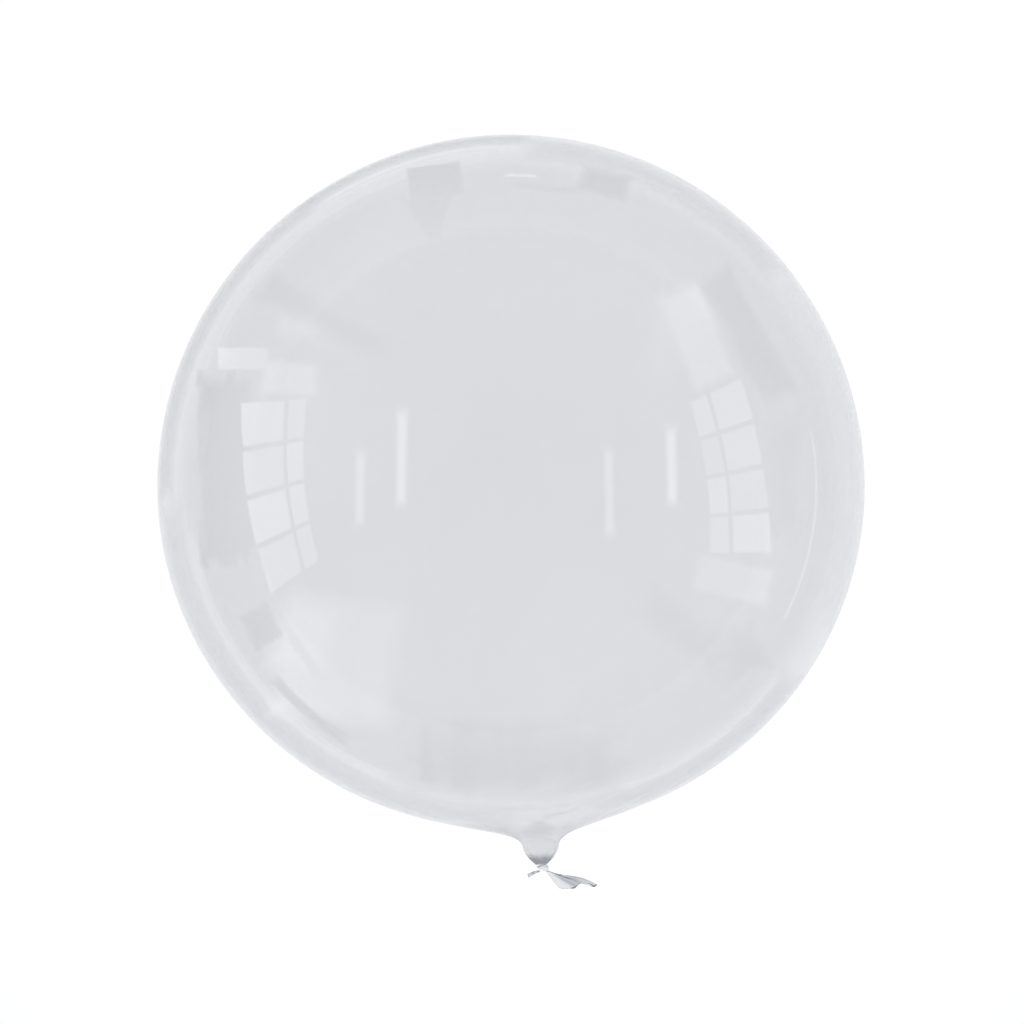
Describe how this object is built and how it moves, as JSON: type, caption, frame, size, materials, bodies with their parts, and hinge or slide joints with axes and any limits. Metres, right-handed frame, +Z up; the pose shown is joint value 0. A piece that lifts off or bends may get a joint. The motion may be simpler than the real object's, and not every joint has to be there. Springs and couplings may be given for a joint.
{
  "type": "clear bubble balloon",
  "caption": "Clear plastic bubble balloon for party decoration: a sealed ball of thin film with a short knotted neck and a fanned film tail, lying on its side.",
  "frame": {"origin": "middle of the flat spot that the balloon lies on, straight below the middle of the ball", "axes": "+Z up out of the surface it lies on, +Y from the middle of the ball to its crown, so the neck points to -Y, and the long flap beyond the knot points to +X"},
  "size_m": [0.508, 0.5416, 0.5067],
  "materials": {
    "film": "clear glossy plastic film, very slightly cool grey"
  },
  "bodies": {
    "root": {"balloon_film": "film"}
  },
  "joints": []
}
